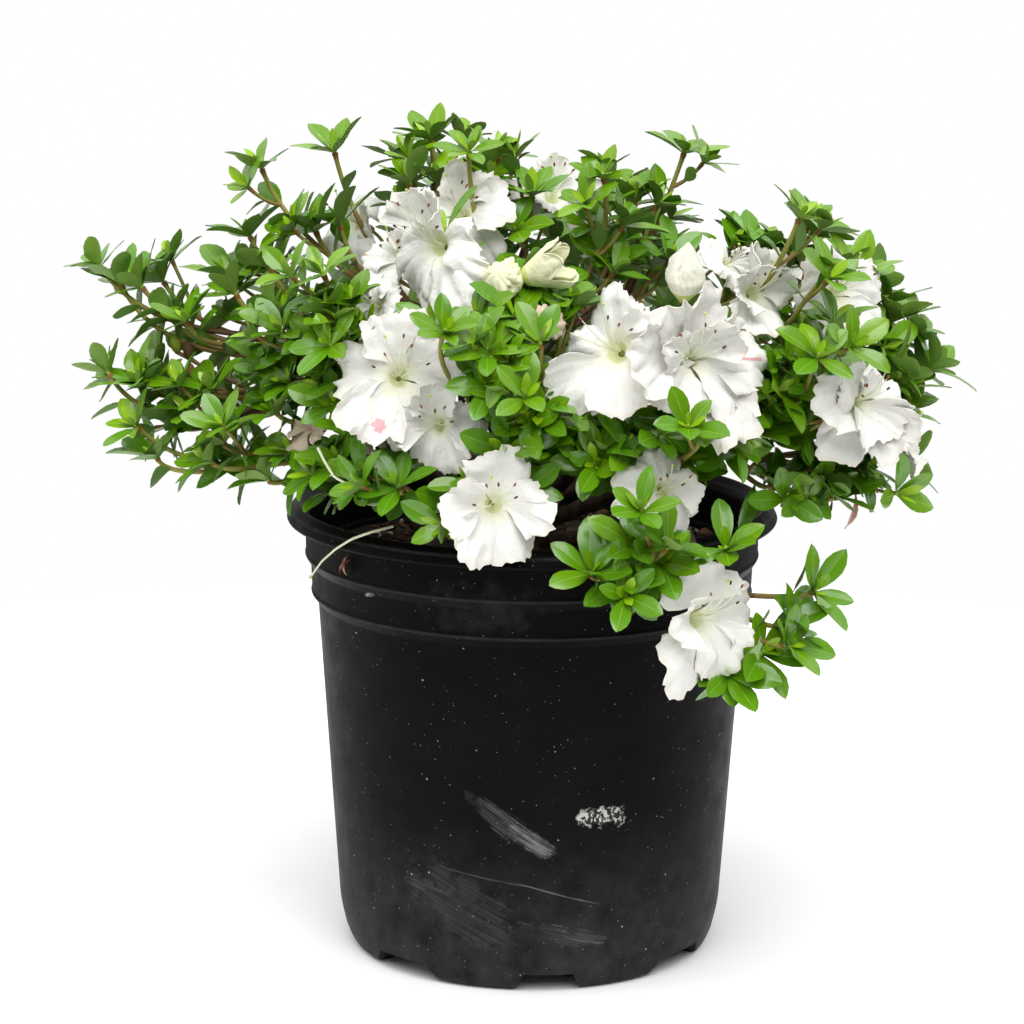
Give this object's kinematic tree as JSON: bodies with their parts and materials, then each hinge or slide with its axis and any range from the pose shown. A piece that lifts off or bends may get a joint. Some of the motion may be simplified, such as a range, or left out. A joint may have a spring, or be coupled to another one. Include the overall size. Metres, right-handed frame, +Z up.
{
  "type": "azalea shrub",
  "caption": "Low, wide-spreading evergreen azalea in white flower, with a drooping spray over the rim of its plain black nursery pot.",
  "frame": {"origin": "on the ground, below the middle of the whole plant's plan; the pot's axis stands 14 mm to the right of it and 3 mm behind it", "axes": "+Z up, +X to the right and -Y towards the viewer when the plant is seen from the front, the side its drooping spray hangs on"},
  "size_m": [0.474, 0.3623, 0.4457],
  "materials": {
    "pot_plastic": "satin black blow-moulded plastic, scuffed",
    "potting_mix": "damp bark and peat mix, rough",
    "bark": "rough brown bark",
    "foliage": "glossy green leaves with white flowers"
  },
  "bodies": {
    "root": {"pot": "pot_plastic", "potting_mix": "potting_mix", "trunk": "bark", "bough_left": "bark", "bough_left_low": "bark", "bough_top_left": "bark", "bough_front_left": "bark", "bough_front": "bark", "bough_front_right": "bark", "bough_over_rim": "bark", "bough_right_low": "bark", "bough_right": "bark", "bough_top_right": "bark", "bough_back_right": "bark", "bough_back": "bark", "bough_back_left": "bark", "bough_hanging": "bark", "far_left_spray": "foliage", "left_upper_spray": "foliage", "left_middle_spray": "foliage", "left_lower_spray": "foliage", "left_shoulder": "foliage", "left_over_rim": "foliage", "top_left_leaders": "foliage", "top_left_crown": "foliage", "front_left_high": "foliage", "top_left_blooms": "foliage", "front_left_blooms": "foliage", "low_front_bloom": "foliage", "front_high": "foliage", "front_middle": "foliage", "front_right_blooms": "foliage", "front_right_low": "foliage", "right_front_spray": "foliage", "hanging_upper_spray": "foliage", "hanging_lower_spray": "foliage", "right_low_spray": "foliage", "right_blooms": "foliage", "far_right_upper_spray": "foliage", "far_right_lower_spray": "foliage", "right_shoulder": "foliage", "top_right_crown": "foliage", "top_middle_crown": "foliage", "back_right_spray": "foliage", "back_right_low_spray": "foliage", "back_right_crown": "foliage", "back_middle_spray": "foliage", "back_left_crown": "foliage", "back_left_spray": "foliage", "back_left_low_spray": "foliage"}
  },
  "joints": []
}
